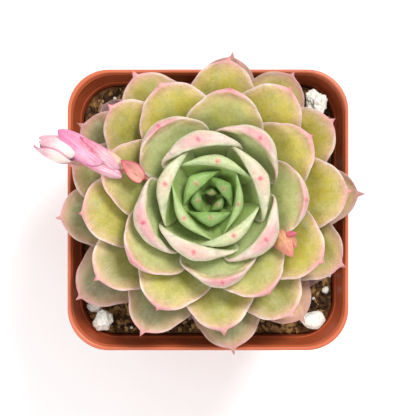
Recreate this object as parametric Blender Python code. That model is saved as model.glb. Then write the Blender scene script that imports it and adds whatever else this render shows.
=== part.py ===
"""A rosette succulent growing in a square plastic nursery pot, with one young flower stalk.

Lengths are in metres and +Z is up. The pot stands on Z = 0, centred on the origin.
The rosette's leaves follow one spiral law: each leaf is turned by the same angle from the
one before, and its reach, height, slope, width and thickness change smoothly with its age.
"""
import math

import bpy
import bmesh
from mathutils import Vector, noise

for old in list(bpy.data.objects):
    bpy.data.objects.remove(old)

# ---- driving sizes ---------------------------------------------------------------------
POT_TOP = 0.090            # across the flats of the rim, outside
POT_HEIGHT = 0.080
POT_BASE = 0.064           # across the flats of the foot, outside
WALL = 0.0013
FLOOR = 0.0018
COLLAR_HEIGHT = 0.0100     # band below the rim, which stands out from the wall
COLLAR_STEP = 0.0012
RIM_CORNER = 0.0130        # outside corner radius at the rim
FOOT_CORNER = 0.0100
DRAIN_RADIUS = 0.0035
DRAIN_OUT = 0.0210         # from the pot's centre line to a drain hole, along X and Y
SOIL_DROP = 0.0130         # from the rim down to the soil
SOIL_MOUND = 0.0008        # rise of the soil towards the plant
STEM_RADIUS = 0.0050
STEM_ROOT = 0.0160         # depth of the stem in the soil
LEAN_X = 0.0009            # rosette's axis from the pot's centre line
LEAN_Y = 0.0034
SPREAD = 1.111             # rosette's width as a part of the pot's: it has filled its pot
STALK_RADIUS = 0.0009
CLEAR = 0.0003             # gap between pieces that touch

# ---- sizes that follow -----------------------------------------------------------------
REACH = SPREAD * POT_TOP / 2        # from the rosette's axis to the tips of its oldest leaves
DOME = 0.46 * REACH                 # rise of the youngest tips above the oldest
TIP_LIFT = 0.096 * REACH            # oldest tips above the rim
SOIL_TOP = POT_HEIGHT - SOIL_DROP
CROWN = SOIL_DROP + 0.30 * REACH    # stretch of stem that carries leaves
LEAF_HALF_WIDTH = 0.264 * REACH
FIRST_LEAF = 5             # younger ones are closed in the heart bud
LAST_LEAF = 47
CROWN_STEP = (CROWN - 0.043 * REACH) / LAST_LEAF
FIRST_TURN = 325.0         # degrees, azimuth of the youngest leaf of the spiral
TURN = 138.25              # degrees from one leaf back to the next older one

# The laws below give a value at a few ages, in leaves from the heart outwards.
REACH_LAW = ((0, 0.05), (5, 0.170), (10, 0.325), (15, 0.510), (20, 0.680), (25, 0.800),
             (30, 0.875), (38, 0.950), (47, 0.990))
ROOT_LAW = ((0, 0.35), (5, 0.48), (20, 1.0), (47, 1.06))
FOOT_SLOPE = ((0, 80), (5, 62), (10, 42), (15, 28), (20, 17), (30, 9), (40, 4), (47, 1))
TIP_SLOPE = ((0, 100), (5, 96), (10, 90), (15, 68), (20, 46), (25, 36), (30, 30), (40, 20),
             (47, 12))
THICKNESS_LAW = ((0, 0.04), (5, 0.044), (10, 0.080), (15, 0.102), (25, 0.096), (35, 0.080),
                 (47, 0.060))

# Leaves that have grown a little out of the spiral: degrees, and parts of the reach.
TURNED = {5: -5, 7: 3, 8: 3, 9: 1, 11: 8, 12: -4, 13: -4, 14: 10, 16: 5, 17: -9, 18: 3, 23: 7, 24: -3,
          25: 5, 27: -6, 31: 4, 32: -6, 36: 5, 37: -7, 38: 10, 40: -8, 43: 10, 45: -7, 46: -4}
STRETCHED = {11: -0.02, 12: -0.02, 14: -0.01, 20: 0.03, 28: 0.02, 37: 0.03, 40: 0.03,
             42: 0.03, 45: 0.09, 46: -0.04}

LEAF_FOOT = 0.24           # foot's width as a part of the widest
LEAF_WIDEST = 0.66         # where along the leaf it is widest
CUSP_FROM = 0.94           # how far past the widest place the round end gives way to a point
CUSP_WIDTH = 0.11          # of the widest
UPPER_SHARE = 0.42         # of the thickness, above the leaf's middle surface
FLATTER = 0.20             # 0 wraps a leaf on a circle round the axis, 1 leaves it flat
LEAF_RINGS = 12
LEAF_SIDES = 10

part = bpy.data.collections.new("potted_succulent")
cutters = bpy.data.collections.new("cutters")
bpy.context.scene.collection.children.link(part)
bpy.context.scene.collection.children.link(cutters)


def law(points, age):
    """Value at an age, on straight lines between the law's points."""
    for (a, low), (b, high) in zip(points, points[1:]):
        if age <= b:
            return low + (high - low) * (age - a) / (b - a)
    return points[-1][1]


def ease(x):
    x = min(max(x, 0.0), 1.0)
    return x * x * (3 - 2 * x)


def paint(name, colour, roughness):
    material = bpy.data.materials.new(name)
    material.use_nodes = True
    shader = material.node_tree.nodes["Principled BSDF"]
    shader.inputs["Base Color"].default_value = (*colour, 1.0)
    shader.inputs["Roughness"].default_value = roughness
    shader.inputs["Metallic"].default_value = 0.0
    return material


def add(name, mesh_bm, material, collection=part, smooth=True):
    """Turn a bmesh into a named object with its faces outwards."""
    bmesh.ops.recalc_face_normals(mesh_bm, faces=mesh_bm.faces)
    mesh = bpy.data.meshes.new(name)
    mesh_bm.to_mesh(mesh)
    mesh_bm.free()
    if smooth:
        mesh.shade_smooth()
    if material:
        mesh.materials.append(material)
    obj = bpy.data.objects.new(name, mesh)
    collection.objects.link(obj)
    return obj


# ---- pot and soil ----------------------------------------------------------------------
CORNER_STEPS = 6


def rounded_square(half, corner, z):
    """Points of a square with rounded corners, anticlockwise from +X."""
    points = []
    for quarter in range(4):
        for step in range(CORNER_STEPS + 1):
            angle = math.radians(90 * (quarter + step / CORNER_STEPS))
            middle = math.radians(90 * quarter + 45)
            inset = (half - corner) * math.sqrt(2)
            points.append((inset * math.cos(middle) + corner * math.cos(angle),
                           inset * math.sin(middle) + corner * math.sin(angle), z))
    return points


def matching_circle(radius, z, x, y):
    """Evenly spaced points of a circle, as many as a rounded square has, and turned to meet it."""
    count = 4 * (CORNER_STEPS + 1)
    start = math.pi / 4 - CORNER_STEPS / 2 * math.tau / count
    bearings = [start + math.tau * i / count for i in range(count)]
    return [(x + radius * math.cos(a), y + radius * math.sin(a), z) for a in bearings]


def loft(rings):
    """Skin a run of rings with equal counts of points, and close both ends."""
    bm = bmesh.new()
    rows = [[bm.verts.new(p) for p in ring] for ring in rings]
    count = len(rows[0])
    for low, high in zip(rows, rows[1:]):
        for i in range(count):
            j = (i + 1) % count
            bm.faces.new((low[i], low[j], high[j], high[i]))
    bm.faces.new(reversed(rows[0]))
    bm.faces.new(rows[-1])
    return bm


def wall_half(z):
    """Outside half width of the pot's tapered wall, without its collar."""
    top = POT_TOP / 2 - COLLAR_STEP
    return POT_BASE / 2 + (top - POT_BASE / 2) * z / POT_HEIGHT


def corner_at(z):
    return FOOT_CORNER + (RIM_CORNER - FOOT_CORNER) * z / POT_HEIGHT


COLLAR_FOOT = POT_HEIGHT - COLLAR_HEIGHT
LIP_ROUND = 0.4 * WALL
EDGE_ROUND = 0.0008
outside = [
    (0.0, wall_half(0) - EDGE_ROUND),
    (0.3 * EDGE_ROUND, wall_half(0) - 0.3 * EDGE_ROUND),
    (EDGE_ROUND, wall_half(EDGE_ROUND)),
    (COLLAR_FOOT, wall_half(COLLAR_FOOT)),
    (COLLAR_FOOT + 0.3 * COLLAR_STEP, wall_half(COLLAR_FOOT) + COLLAR_STEP),
    (POT_HEIGHT - LIP_ROUND, POT_TOP / 2),
    (POT_HEIGHT, POT_TOP / 2 - LIP_ROUND),
]
inside = [
    (POT_HEIGHT, POT_TOP / 2 - WALL + 0.3 * LIP_ROUND),
    (POT_HEIGHT - 0.7 * LIP_ROUND, POT_TOP / 2 - WALL),
    (COLLAR_FOOT + WALL, wall_half(COLLAR_FOOT) + COLLAR_STEP - WALL),
    (COLLAR_FOOT + 0.6 * WALL, wall_half(COLLAR_FOOT + 0.6 * WALL) - WALL),
    (FLOOR + EDGE_ROUND, wall_half(FLOOR + EDGE_ROUND) - WALL),
    (FLOOR, wall_half(FLOOR) - WALL - EDGE_ROUND),
]
pot_rings = [rounded_square(half, corner_at(z), z)
             for z, half in outside]
pot_rings += [rounded_square(half, corner_at(z) - WALL, z) for z, half in inside]
pot = add("pot", loft(pot_rings), paint("pot", (0.46, 0.115, 0.045), 0.42), smooth=False)
pot.data.set_sharp_from_angle(angle=math.radians(30))

for number, (sx, sy) in enumerate(((1, 1), (-1, 1), (-1, -1), (1, -1))):
    bm = bmesh.new()
    bmesh.ops.create_cone(bm, cap_ends=True, segments=24, radius1=DRAIN_RADIUS,
                          radius2=DRAIN_RADIUS, depth=6 * FLOOR)
    bmesh.ops.translate(bm, verts=bm.verts, vec=(sx * DRAIN_OUT, sy * DRAIN_OUT, 0))
    drain = add(f"drain_{number}", bm, None, cutters, smooth=False)
    drain.hide_render = True
    drain.display_type = "WIRE"
    cut = pot.modifiers.new(f"drain_{number}", "BOOLEAN")
    cut.operation = "DIFFERENCE"
    cut.solver = "EXACT"
    cut.object = drain


def inner_half(z):
    """Inside half width of the pot's wall below the collar."""
    return wall_half(z) - WALL


SOCKET = STEM_RADIUS + CLEAR
SOCKET_FLOOR = SOIL_TOP - STEM_ROOT - CLEAR
soil_foot = FLOOR + CLEAR
soil_rings = []
for z, pull in ((soil_foot, 2 * EDGE_ROUND), (soil_foot + 2 * EDGE_ROUND, 0.0), (SOIL_TOP, 0.0)):
    soil_rings.append(rounded_square(inner_half(z) - CLEAR - pull, corner_at(z) - WALL - CLEAR, z))
for radius, z in ((4.2 * STEM_RADIUS, SOIL_TOP + 0.6 * SOIL_MOUND),
                  (SOCKET, SOIL_TOP + SOIL_MOUND), (SOCKET, SOCKET_FLOOR)):
    soil_rings.append(matching_circle(radius, z, LEAN_X, LEAN_Y))
add("soil", loft(soil_rings), paint("soil", (0.055, 0.028, 0.014), 0.95), smooth=False)

# ---- stem and heart --------------------------------------------------------------------
SPIN_SIDES = 20


def turned(name, profile, material, x, y, sides=SPIN_SIDES):
    """Spin a profile of (radius, z) about a vertical axis; its end points lie on the axis."""
    bm = bmesh.new()
    points = [bm.verts.new((radius, 0, z)) for radius, z in profile]
    edges = [bm.edges.new(pair) for pair in zip(points, points[1:])]
    bmesh.ops.spin(bm, geom=points + edges, cent=(0, 0, 0), axis=(0, 0, 1), dvec=(0, 0, 0),
                   angle=math.tau, steps=sides, use_duplicate=False)
    bmesh.ops.remove_doubles(bm, verts=bm.verts, dist=1e-6)
    bmesh.ops.translate(bm, verts=bm.verts, vec=(x, y, 0))
    return add(name, bm, material)


def root_height(age):
    """Height at which a leaf of this age leaves the stem."""
    return SOIL_TOP + CROWN - CROWN_STEP * age


def root_radius(age):
    return STEM_RADIUS * law(ROOT_LAW, age)


STEM_TOP_AGE = 5
stem_profile = [(0, SOIL_TOP - STEM_ROOT), (0.8 * STEM_RADIUS, SOIL_TOP - STEM_ROOT),
                (STEM_RADIUS, SOIL_TOP - 0.9 * STEM_ROOT), (STEM_RADIUS, root_height(40))]
for age in (20, 15, 10, STEM_TOP_AGE):
    stem_profile.append((root_radius(age) - CLEAR, root_height(age)))
stem_top = root_height(STEM_TOP_AGE) + 0.1 * STEM_RADIUS
stem_profile.append((0, stem_top))
turned("stem", stem_profile, paint("stem", (0.30, 0.28, 0.14), 0.7), LEAN_X, LEAN_Y)

HEART_HEIGHT = 0.18 * REACH
HEART_RADIUS = 0.086 * REACH
heart_foot = stem_top + CLEAR
heart_profile = [(HEART_RADIUS * k, heart_foot + HEART_HEIGHT * h) for k, h in (
    (0, 0), (0.30, 0.04), (0.55, 0.22), (0.85, 0.47), (1.0, 0.68), (0.80, 0.86), (0.35, 0.97),
    (0, 1.0))]
turned("heart_bud", heart_profile, paint("heart_bud", (0.10, 0.22, 0.05), 0.5), LEAN_X, LEAN_Y,
       sides=10)

# ---- leaves ----------------------------------------------------------------------------


def tip_height(age):
    """Tips lie on a dome that dips a little at the heart."""
    slope = math.radians(90 * (age / 46) ** 0.95)
    dip = 0.22 * DOME * math.exp(-(age / 6) ** 2)
    return POT_HEIGHT + TIP_LIFT + DOME * math.cos(slope) - dip


class Blade:
    """A leaf's middle line in the upright plane through the rosette's axis, and its sizes."""

    def __init__(self, azimuth, foot, tip, foot_slope, tip_slope, half_width, thickness):
        self.azimuth = azimuth
        self.half_width = half_width
        self.thickness = thickness
        handle = 0.38 * (Vector(tip) - Vector(foot)).length
        a = math.radians(foot_slope)
        b = math.radians(tip_slope)
        self.line = (Vector(foot), Vector(foot) + handle * Vector((math.cos(a), math.sin(a))),
                     Vector(tip) - handle * Vector((math.cos(b), math.sin(b))), Vector(tip))

    def at(self, t):
        """Point (radius, height) and direction of the middle line."""
        p, q, r, s = self.line
        u = 1 - t
        point = u ** 3 * p + 3 * u * u * t * q + 3 * u * t * t * r + t ** 3 * s
        along = 3 * u * u * (q - p) + 6 * u * t * (r - q) + 3 * t * t * (s - r)
        return point, along.normalized()

    def place(self, t, across, above):
        """Surface point for a place along (0 to 1), across and above (-1 to 1) the leaf."""
        point, along = self.at(t)
        foot = math.sqrt(1 - min(max(1 - t / 0.05, 0), 1) ** 2)
        past = min(max((t - LEAF_WIDEST) / (1 - LEAF_WIDEST), 0), 1)
        width = LEAF_FOOT + (1 - LEAF_FOOT) * ease(t / LEAF_WIDEST)
        cap = max(1 - (past / CUSP_FROM) ** 2, 0) ** 0.58 + CUSP_WIDTH * (1 - past) ** 0.3
        width *= self.half_width * foot * min(cap, 1)
        last = min(max((t - 0.6) / 0.4, 0), 1)
        blunt = max(1 - (last / 0.98) ** 3, 0) ** 0.6 + 0.12 * (1 - last) ** 0.3
        depth = self.thickness * (0.42 + 0.58 * ease(t / 0.6)) * foot * min(blunt, 1)
        share = UPPER_SHARE if above > 0 else UPPER_SHARE - 1
        rise = share * depth * above ** 2
        swing = across * width / max(point[0], 0.1 * STEM_RADIUS)
        spread = 1 + FLATTER * (1 / math.cos(min(abs(swing), 1.2)) - 1)
        radius = point[0] * spread - rise * along[1]
        height = point[1] + rise * along[0]
        bearing = self.azimuth + swing
        return (LEAN_X + radius * math.cos(bearing), LEAN_Y + radius * math.sin(bearing), height)


def grow(name, blade, material, rings=LEAF_RINGS, sides=LEAF_SIDES):
    """A leaf: a ball whose poles become foot and tip, pulled onto the blade's shape."""
    bm = bmesh.new()
    bmesh.ops.create_uvsphere(bm, u_segments=sides, v_segments=rings, radius=1)
    for vert in bm.verts:
        x, y, z = vert.co
        girth = math.hypot(x, y)
        across, above = (x / girth, y / girth) if girth > 1e-6 else (0, 0)
        vert.co = blade.place(min(max((1 + z) / 2, 0), 1), across, above)
    return add(name, bm, material)


def meets_rim(blade):
    """Whether the leaf's underside comes down on the pot's rim or wall."""
    for along in range(8, 20):
        for across in (-0.9, -0.5, 0, 0.5, 0.9):
            x, y, z = blade.place(along / 20, across, -math.sqrt(1 - across ** 2))
            if max(abs(x), abs(y)) > POT_TOP / 2 - WALL - CLEAR and z < POT_HEIGHT + CLEAR:
                return True
    return False


def spiral_blade(age):
    azimuth = math.radians(FIRST_TURN - TURN * age + TURNED.get(age, 0))
    reach = REACH * (law(REACH_LAW, age) + STRETCHED.get(age, 0))
    half_width = LEAF_HALF_WIDTH * (1 - math.exp(-age / 5)) * (1 - 0.004 * max(0, age - 20))
    height = tip_height(age)
    while True:
        blade = Blade(azimuth, (root_radius(age), root_height(age)), (reach, height),
                      law(FOOT_SLOPE, age), law(TIP_SLOPE, age), half_width,
                      REACH * law(THICKNESS_LAW, age) - CLEAR)
        if not meets_rim(blade):
            return blade
        height += CLEAR


for age in range(FIRST_LEAF, LAST_LEAF + 1):
    old = age / LAST_LEAF
    green = (0.16 + 0.24 * old, 0.30 + 0.06 * old, 0.08 + 0.02 * old)
    grow(f"leaf_{age:02d}", spiral_blade(age), paint(f"leaf_{age:02d}", green, 0.5))

# Dry leaves lie on the soil in the corners, under the live ones.
DRY_FOOT = 0.34 * REACH
DRY_LIFT = SOIL_MOUND + 0.012 * REACH
DRY_LEAVES = (("dry_leaf_a", 139, 0.93), ("dry_leaf_b", 55, 0.90), ("dry_leaf_c", 260, 0.80),
              ("dry_leaf_d", 324, 0.90))
for name, bearing, out in DRY_LEAVES:
    foot = (DRY_FOOT, SOIL_TOP + DRY_LIFT)
    tip = (out * REACH, SOIL_TOP + 0.40 * SOIL_DROP)
    blade = Blade(math.radians(bearing), foot, tip, 4, 28, 0.13 * REACH, 0.03 * REACH)
    grow(name, blade, paint(name, (0.20, 0.11, 0.12), 0.8), rings=8, sides=8)

# ---- flower stalk, its bracts and bud, and a side shoot --------------------------------
FLOWER_BEARING = math.radians(161.5)
STALK_AGE = 15.5           # it leaves the stem between leaves of this age


def beside(bearing, out, side, lift):
    """Point from the rosette's axis: outwards, to the left of outwards, and above the rim."""
    return Vector((LEAN_X + out * math.cos(bearing) - side * math.sin(bearing),
                   LEAN_Y + out * math.sin(bearing) + side * math.cos(bearing),
                   POT_HEIGHT + lift))


def plant(out, side, lift):
    """A place by the flower stalk, given as parts of the rosette's reach."""
    return beside(FLOWER_BEARING, REACH * out, REACH * side, TIP_LIFT + DOME * lift)


def tube(name, middle, radii, material, sides=10):
    """A round stalk along a run of points, with closed ends."""
    rings = []
    across = Vector((-math.sin(FLOWER_BEARING), math.cos(FLOWER_BEARING), 0))
    for i, point in enumerate(middle):
        along = (middle[min(i + 1, len(middle) - 1)] - middle[max(i - 1, 0)]).normalized()
        up = along.cross(across).normalized()
        rings.append([point + radii[i] * (math.cos(a) * across + math.sin(a) * up)
                      for a in (math.tau * k / sides for k in range(sides))])
    return add(name, loft(rings), material)


stalk_root = beside(FLOWER_BEARING, STEM_RADIUS + CLEAR, 0, root_height(STALK_AGE) - POT_HEIGHT)
stalk_line = [stalk_root] + [plant(*p) for p in (
    (0.19, 0, 0.13), (0.31, 0.012, 0.26), (0.46, 0, 0.50), (0.60, 0.005, 0.69), (0.74, 0.0, 0.82),
    (0.86, -0.01, 0.86))]
stalk_radii = [STALK_RADIUS * k for k in (1.0, 1.0, 1.0, 1.0, 0.95, 0.9, 0.85)]
tube("flower_stalk", stalk_line, stalk_radii, paint("flower_stalk", (0.42, 0.16, 0.12), 0.55))


def scale_leaf(name, foot, tip, half_width, thickness, arch, roll, cup, material):
    """A bract: a thin pointed shell between two points, arched along and cupped across."""
    along = tip - foot
    level = Vector((0, 0, 1)).cross(along).normalized()
    upright = along.cross(level).normalized()
    across = math.cos(roll) * level + math.sin(roll) * upright
    up = math.cos(roll) * upright - math.sin(roll) * level
    bm = bmesh.new()
    bmesh.ops.create_uvsphere(bm, u_segments=10, v_segments=10, radius=1)
    for vert in bm.verts:
        x, y, z = vert.co
        girth = math.hypot(x, y)
        side, above = (x / girth, y / girth) if girth > 1e-6 else (0, 0)
        t = min(max((1 + z) / 2, 0), 1)
        full = math.sin(math.pi * t ** 0.8) ** 0.8 if 0 < t < 1 else 0
        lift = arch * 4 * t * (1 - t) - cup * half_width * (side * full) ** 2
        lift += thickness / 2 * full * above
        vert.co = foot + t * along + side * full * half_width * across + lift * up
    return add(name, bm, material)


PINK = (0.78, 0.30, 0.38)
BRACTS = (
    ("bract_upper", (0.705, 0.020, 1.02), (1.030, -0.095, 0.98), 0.055, 0.035, 0.02, 0.5, 0.5),
    ("bract_middle", (0.600, 0.055, 0.86), (0.860, 0.040, 0.84), 0.042, 0.032, 0.01, -0.5, 0.4),
    ("bract_lower", (0.450, 0.040, 0.69), (0.600, -0.042, 0.78), 0.042, 0.030, 0.01, 0.1, 0.4),
)
for name, foot, tip, half_width, thickness, arch, roll, cup in BRACTS:
    scale_leaf(name, plant(*foot), plant(*tip), REACH * half_width, REACH * thickness,
               REACH * arch, roll, cup, paint(name, PINK, 0.5))


def lobed(name, foot, tip, radius, lobes, depth, material, widest=0.45):
    """A closed bud between two points, swelling in the middle, with shallow lobes round it."""
    along = tip - foot
    first = Vector((0, 0, 1)).cross(along).normalized()
    second = along.cross(first).normalized()
    bm = bmesh.new()
    bmesh.ops.create_uvsphere(bm, u_segments=5 * lobes, v_segments=12, radius=1)
    for vert in bm.verts:
        x, y, z = vert.co
        t = min(max((1 + z) / 2, 0), 1)
        angle = math.atan2(y, x) if math.hypot(x, y) > 1e-6 else 0
        swell = math.sin(math.pi * t ** (math.log(0.5) / math.log(widest))) ** 0.7 if 0 < t < 1 else 0
        girth = radius * swell * (1 - depth * math.sin(lobes * angle / 2) ** 2 * t)
        vert.co = foot + t * along + girth * (math.cos(angle) * first + math.sin(angle) * second)
    return add(name, bm, material)


lobed("flower_bud", plant(0.885, -0.010, 0.865), plant(1.134, 0.02, 0.86), 0.078 * REACH, 4, 0.3,
      paint("flower_bud", (0.85, 0.52, 0.56), 0.5))

SHOOT_BEARING = math.radians(329.6)
shoot_foot = beside(SHOOT_BEARING, 0.405 * REACH, 0, TIP_LIFT + 0.53 * DOME)
shoot_tip = beside(SHOOT_BEARING, 0.63 * REACH, 0, TIP_LIFT + 0.72 * DOME)
lobed("side_shoot", shoot_foot, shoot_tip, 0.050 * REACH, 3, 0.35,
      paint("side_shoot", (0.80, 0.36, 0.24), 0.5), widest=0.6)

# ---- stones on the soil ----------------------------------------------------------------
# Name, side of the pot, distances in from the walls, half sizes, roughness, noise seed.
STONES = (("stone_a", 1, 1, 0.0048, 0.0081, 0.0038, 0.0044, 0.0032, 0.30, 4),
          ("stone_b", -1, -1, 0.0070, 0.0056, 0.0034, 0.0037, 0.0030, 0.22, 9),
          ("stone_c", 1, -1, 0.0076, 0.0056, 0.0045, 0.0031, 0.0027, 0.08, 14))
for name, side_x, side_y, in_x, in_y, half_x, half_y, half_z, rough, seed in STONES:
    x = side_x * (inner_half(SOIL_TOP) - in_x)
    y = side_y * (inner_half(SOIL_TOP) - in_y)
    bm = bmesh.new()
    bmesh.ops.create_icosphere(bm, subdivisions=3, radius=1)
    for vert in bm.verts:
        dent = noise.noise(vert.co * 1.3 + Vector((seed, 0, 0)))
        bump = vert.co * (0.94 + rough * dent)
        vert.co = (x + half_x * bump.x, y + half_y * bump.y,
                   SOIL_TOP + CLEAR + SOIL_MOUND + half_z * max(0.9 + bump.z, 0.0))
    add(name, bm, paint(name, (0.75, 0.72, 0.66), 0.9))
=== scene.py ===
# %% [markdown]
# # A potted echeveria
# This lesson builds the looks of a small rosette succulent in a square plastic pot. The CAD model
# gives every piece its size and place; here each one gets its real shape, surface and colour.
# Lengths are in metres, +Z is up, and the pot stands on the floor with its middle at the origin.

# %% Load the frame
import math
import random

import bmesh
import bpy
import numpy as np
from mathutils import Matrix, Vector, noise


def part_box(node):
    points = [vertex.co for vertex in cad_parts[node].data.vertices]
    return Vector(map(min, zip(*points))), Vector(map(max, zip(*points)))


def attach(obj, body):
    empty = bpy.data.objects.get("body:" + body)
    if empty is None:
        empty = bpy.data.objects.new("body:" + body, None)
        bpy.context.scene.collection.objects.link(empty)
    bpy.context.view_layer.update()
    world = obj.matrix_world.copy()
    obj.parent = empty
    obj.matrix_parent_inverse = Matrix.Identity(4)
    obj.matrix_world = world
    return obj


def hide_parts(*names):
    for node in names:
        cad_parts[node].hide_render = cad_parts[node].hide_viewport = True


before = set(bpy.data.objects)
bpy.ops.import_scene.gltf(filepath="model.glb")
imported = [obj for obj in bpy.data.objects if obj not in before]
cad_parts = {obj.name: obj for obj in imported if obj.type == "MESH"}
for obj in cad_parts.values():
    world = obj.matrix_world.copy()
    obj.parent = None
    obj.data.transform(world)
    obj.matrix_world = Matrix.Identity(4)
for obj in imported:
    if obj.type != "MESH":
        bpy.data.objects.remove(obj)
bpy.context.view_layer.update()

# %% [markdown]
# ## Sizes taken from the frame
# The pot's box gives its rim and height. The stem's box gives the rosette's axis, and the soil's
# box the level of the soil. What the boxes can't tell, such as how a leaf is sloped at each age,
# is written out below as the same growth law that the CAD model follows.

# %% Sizes of the pot and the plant
pot_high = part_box("pot")[1]
stem_low, stem_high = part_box("stem")
soil_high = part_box("soil")[1]
RIM = pot_high.z
POT_HALF = pot_high.x
AXIS = Vector(((stem_low.x + stem_high.x) / 2, (stem_low.y + stem_high.y) / 2, 0))
STEM_RADIUS = (stem_high.x - stem_low.x) / 2
SOIL_MOUND = 0.0008
SOIL_TOP = soil_high.z - SOIL_MOUND
SPREAD = 1.111
REACH = SPREAD * POT_HALF
DOME = 0.46 * REACH
TIP_LIFT = 0.096 * REACH
FIRST_LEAF, LAST_LEAF = 5, 47
CROWN = RIM - SOIL_TOP + 0.30 * REACH
CROWN_STEP = (CROWN - 0.043 * REACH) / LAST_LEAF
print("rim", RIM, "axis", tuple(AXIS), "reach", REACH, "soil", SOIL_TOP)

# %% The growth law
FIRST_TURN, TURN = 325.0, 138.25
REACH_LAW = ((0, 0.05), (5, 0.170), (10, 0.325), (15, 0.510), (20, 0.680), (25, 0.800),
             (30, 0.875), (38, 0.950), (47, 0.990))
ROOT_LAW = ((0, 0.35), (5, 0.48), (20, 1.0), (47, 1.06))
FOOT_SLOPE = ((0, 80), (5, 62), (10, 42), (15, 28), (20, 17), (30, 9), (40, 4), (47, 1))
TIP_SLOPE = ((0, 100), (5, 96), (10, 90), (15, 68), (20, 46), (25, 36), (30, 30), (40, 20),
             (47, 12))
THICKNESS_LAW = ((0, 0.04), (5, 0.044), (10, 0.080), (15, 0.102), (25, 0.096), (35, 0.080),
                 (47, 0.060))
TURNED = {5: -5, 7: 3, 8: 3, 9: 1, 11: 8, 12: -4, 13: -4, 14: 10, 16: 5, 17: -9, 18: 3, 23: 7,
          24: -3, 25: 5, 27: -6, 31: 4, 32: -6, 36: 5, 37: -7, 38: 10, 40: -8, 43: 10, 45: -7,
          46: -4}
STRETCHED = {11: -0.02, 12: -0.02, 14: -0.01, 20: 0.03, 28: 0.02, 37: 0.03, 40: 0.03,
             42: 0.03, 45: 0.09, 46: -0.04}
FLATTER = 0.20
# bearing of the side towards the key lamp: the leaf finish paints leaves there golden, partly sun
# colour and partly painted light, and older ones away from it in painted shade
SUN_AND_LAMP_SIDE = math.radians(50)


def law(points, age):
    return float(np.interp(age, [p[0] for p in points], [p[1] for p in points]))


def tip_height(age):
    slope = math.radians(90 * (age / 46) ** 0.95)
    return RIM + TIP_LIFT + DOME * math.cos(slope) - 0.22 * DOME * math.exp(-(age / 6) ** 2)


print("oldest tip at", tip_height(LAST_LEAF), "youngest at", tip_height(FIRST_LEAF))

# %% [markdown]
# ## Selecting
# An operator works on whatever is selected, and the loaded CAD pieces are selected to begin with.
# So each step starts from a clear selection, and what an operator needs is then selected in code.

# %% Helpers for selecting
def clear_selection():
    if bpy.context.object and bpy.context.object.mode != "OBJECT":
        bpy.ops.object.mode_set(mode="OBJECT")
    bpy.ops.object.select_all(action="DESELECT")


def only(obj):
    """Select one object and make it the active one."""
    clear_selection()
    obj.select_set(True)
    bpy.context.view_layer.objects.active = obj


clear_selection()
print("selected after clearing:", len(bpy.context.selected_objects))

# %% [markdown] ## A small kit for materials Every finish here is a tree of nodes that mixes a
# few colours by noise and by what is known of each point: how far along its leaf it is, how far
# from the edge, how old the leaf is.

# %% Node kit
class Finish:
    def __init__(self, name):
        self.material = bpy.data.materials.new(name)
        self.material.use_nodes = True
        self.tree = self.material.node_tree
        self.shader = self.tree.nodes["Principled BSDF"]
        self.place = self.tree.nodes.new("ShaderNodeTexCoord").outputs["Object"]

    def plug(self, value, socket):
        if isinstance(value, bpy.types.NodeSocket):
            self.tree.links.new(value, socket)
        elif isinstance(value, tuple) and len(value) == 3 and socket.type == "RGBA":
            socket.default_value = (*value, 1)
        else:
            socket.default_value = value

    def known(self, name):
        node = self.tree.nodes.new("ShaderNodeAttribute")
        node.attribute_name = name
        return node.outputs["Fac"]

    def sum(self, operation, a, b=0.0):
        node = self.tree.nodes.new("ShaderNodeMath")
        node.operation = operation
        self.plug(a, node.inputs[0])
        self.plug(b, node.inputs[1])
        return node.outputs[0]

    def slide(self, value, low, high, start=0.0, end=1.0):
        """start below low, end above high, and a smooth change between."""
        node = self.tree.nodes.new("ShaderNodeMapRange")
        node.interpolation_type = "SMOOTHSTEP"
        for socket, item in zip(node.inputs, (value, low, high, start, end)):
            self.plug(item, socket)
        return node.outputs[0]

    def blend(self, amount, a, b, how="MIX"):
        node = self.tree.nodes.new("ShaderNodeMix")
        node.data_type = "RGBA"
        node.blend_type = how
        self.plug(amount, node.inputs["Factor"])
        self.plug(a, node.inputs[6])
        self.plug(b, node.inputs[7])
        return node.outputs[2]

    def ramp(self, value, stops):
        node = self.tree.nodes.new("ShaderNodeValToRGB")
        while len(node.color_ramp.elements) < len(stops):
            node.color_ramp.elements.new(0.5)
        for element, (where, colour) in zip(node.color_ramp.elements, stops):
            element.position = where
            element.color = (*colour, 1)
        self.plug(value, node.inputs[0])
        return node.outputs[0]

    def noise(self, scale, detail=3.0, rough=0.6, at=None):
        node = self.tree.nodes.new("ShaderNodeTexNoise")
        self.plug(self.place if at is None else at, node.inputs["Vector"])
        node.inputs["Scale"].default_value = scale
        node.inputs["Detail"].default_value = detail
        node.inputs["Roughness"].default_value = rough
        return node.outputs["Fac"]

    def cells(self, scale, feature="F1"):
        node = self.tree.nodes.new("ShaderNodeTexVoronoi")
        node.feature = feature
        self.plug(self.place, node.inputs["Vector"])
        node.inputs["Scale"].default_value = scale
        return node.outputs["Distance"]

    def join(self, x, y, z=0.0):
        node = self.tree.nodes.new("ShaderNodeCombineXYZ")
        for socket, item in zip(node.inputs, (x, y, z)):
            self.plug(item, socket)
        return node.outputs[0]

    def bump(self, height, depth, strength=1.0, under=None):
        node = self.tree.nodes.new("ShaderNodeBump")
        node.inputs["Strength"].default_value = strength
        node.inputs["Distance"].default_value = depth
        self.plug(height, node.inputs["Height"])
        if under is not None:
            self.plug(under, node.inputs["Normal"])
        return node.outputs[0]

    def set(self, **inputs):
        for name, value in inputs.items():
            self.plug(value, self.shader.inputs[name.replace("_", " ")])
        return self.material


def through(amount_mm):
    """Depth that light travels under a soft surface, redder light further."""
    return (amount_mm * 0.001, amount_mm * 0.00065, amount_mm * 0.0003)


print("a Finish can", ", ".join(word for word in vars(Finish) if not word.startswith("_")))

# %% [markdown]
# ## The pot
# The real pot is injection moulded: one thin shell with a slight taper, a collar standing out
# below the rim and a matching ledge inside. It could be a box with its middle cut out, but the
# corners are round and the wall is even all round, so it is drawn up from its foot instead: a
# rounded square is extruded in short steps, each scaled to the next width, up the outside, over
# the lip and down the inside to the floor.

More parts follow.
